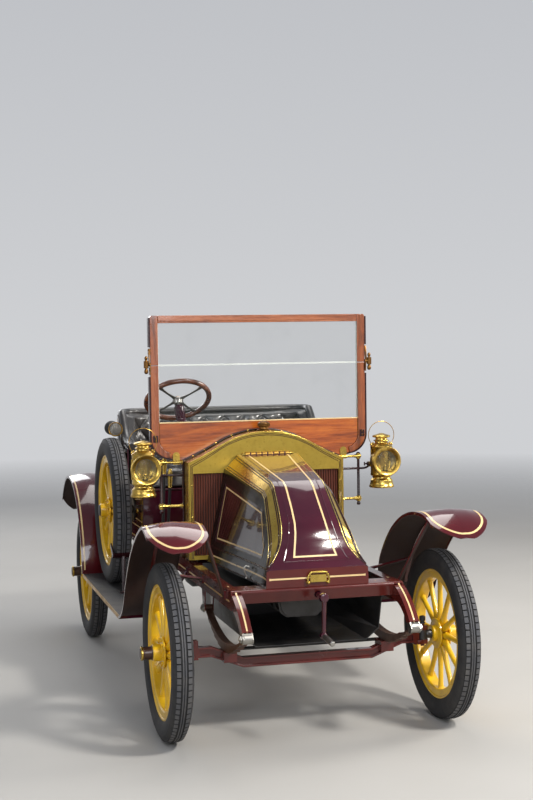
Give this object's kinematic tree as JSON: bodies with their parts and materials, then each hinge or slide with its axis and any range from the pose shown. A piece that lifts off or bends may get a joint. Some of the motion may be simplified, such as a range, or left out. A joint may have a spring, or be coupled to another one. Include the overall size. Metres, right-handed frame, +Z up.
{
  "type": "brass era car",
  "caption": "Open two-seat brass era motor car with a sloping bonnet, wooden windscreen, side lamps, artillery wheels and a spare wheel on the running board.",
  "frame": {"origin": "bottom centre of the car's box, on the ground under its middle", "axes": "+Z up, -Y forward (the radiator end), +X to the car's left"},
  "size_m": [1.38, 2.848, 1.684],
  "materials": {
    "maroon_paint": "gloss coach paint",
    "frame_paint": "gloss brown-maroon paint",
    "black_steel": "semi-gloss black",
    "bare_steel": "turned, oiled",
    "castings": "rough cast",
    "brass": "polished",
    "tube_paint": "red-brown tubes",
    "varnished_wood": "varnished",
    "floor_wood": "plain",
    "wheel_paint": "yellow painted",
    "tyre_rubber": "grey-black",
    "horn_rubber": "black",
    "black_leather": "buttoned",
    "clear_glass": "clear"
  },
  "bodies": {
    "chassis": {"chassis_frame": "frame_paint", "front_apron": "frame_paint", "front_springs": "black_steel", "rear_springs": "black_steel", "front_axle": "frame_paint", "rear_axle": "black_steel", "engine": "castings", "gearbox": "castings", "silencer": "black_steel", "undertray": "black_steel", "radiator_tubes": "tube_paint", "radiator_shell": "brass", "dash_panel": "maroon_paint", "windscreen_frame": "varnished_wood", "windscreen_glass_lower": "clear_glass", "lamp_brackets": "black_steel", "side_lamps": "brass", "lamp_glasses": "clear_glass", "steering_column": "maroon_paint", "floor_boards": "floor_wood", "pedals": "bare_steel", "seat_box": "maroon_paint", "seat_cushion": "black_leather", "seat_back": "black_leather", "rear_locker": "maroon_paint", "front_fenders": "maroon_paint", "rear_fenders": "maroon_paint", "running_boards": "maroon_paint", "spare_bracket": "bare_steel", "hand_levers": "bare_steel", "horn_trumpet": "brass", "horn_bulb": "horn_rubber", "starting_handle": "bare_steel", "spare_wheel": "wheel_paint", "spare_tyre": "tyre_rubber"},
    "bonnet": {"bonnet_shell": "maroon_paint", "bonnet_trim": "brass"},
    "screen_top": {"windscreen_top_frame": "varnished_wood", "windscreen_glass_upper": "clear_glass"},
    "steering_wheel": {"steering_wheel": "varnished_wood"},
    "knuckle_left": {"knuckle_left": "black_steel"},
    "knuckle_right": {"knuckle_right": "black_steel"},
    "tie_rod": {"tie_rod": "black_steel"},
    "wheel_front_left": {"wheel_front_left": "wheel_paint", "tyre_front_left": "tyre_rubber"},
    "wheel_front_right": {"wheel_front_right": "wheel_paint", "tyre_front_right": "tyre_rubber"},
    "wheel_rear_left": {"wheel_rear_left": "wheel_paint", "tyre_rear_left": "tyre_rubber"},
    "wheel_rear_right": {"wheel_rear_right": "wheel_paint", "tyre_rear_right": "tyre_rubber"}
  },
  "joints": [
    {"name": "bonnet_lift", "type": "hinge", "parent": "chassis", "child": "bonnet", "pos_m": [0, -0.476, 1.069], "axis": [-1, 0, 0], "range_deg": [0, 70]},
    {"name": "screen_fold", "type": "hinge", "parent": "chassis", "child": "screen_top", "pos_m": [0, -0.369, 1.47], "axis": [1, 0, 0], "range_deg": [0, 170]},
    {"name": "steer", "type": "hinge", "parent": "chassis", "child": "knuckle_left", "pos_m": [0.495, -1.066, 0.35], "axis": [0, 0, 1], "range_deg": [-25, 25]},
    {"name": "knuckle_right_turn", "type": "hinge", "parent": "chassis", "child": "knuckle_right", "pos_m": [-0.495, -1.066, 0.35], "axis": [0, 0, 1], "range_deg": [-26, 26]},
    {"name": "tie_rod_pivot", "type": "hinge", "parent": "knuckle_left", "child": "tie_rod", "pos_m": [0.495, -0.936, 0.314], "axis": [0, 0, 1], "range_deg": [-26, 26]},
    {"name": "steering_wheel_turn", "type": "hinge", "parent": "chassis", "child": "steering_wheel", "pos_m": [-0.262, 0.204, 1.289], "axis": [0, 0.6157, 0.788], "range_deg": [-230, 230]},
    {"name": "wheel_front_left_spin", "type": "hinge", "parent": "knuckle_left", "child": "wheel_front_left", "pos_m": [0.575, -1.066, 0.35], "axis": [1, 0, 0], "continuous": true},
    {"name": "wheel_front_right_spin", "type": "hinge", "parent": "knuckle_right", "child": "wheel_front_right", "pos_m": [-0.575, -1.066, 0.35], "axis": [1, 0, 0], "continuous": true},
    {"name": "wheel_rear_left_spin", "type": "hinge", "parent": "chassis", "child": "wheel_rear_left", "pos_m": [0.575, 1.054, 0.35], "axis": [1, 0, 0], "continuous": true},
    {"name": "wheel_rear_right_spin", "type": "hinge", "parent": "chassis", "child": "wheel_rear_right", "pos_m": [-0.575, 1.054, 0.35], "axis": [1, 0, 0], "continuous": true}
  ],
  "couplings": [
    {"joint": "knuckle_right_turn", "follows": "steer", "ratio": 1},
    {"joint": "tie_rod_pivot", "follows": "steer", "ratio": -1},
    {"joint": "steering_wheel_turn", "follows": "steer", "ratio": 9}
  ]
}
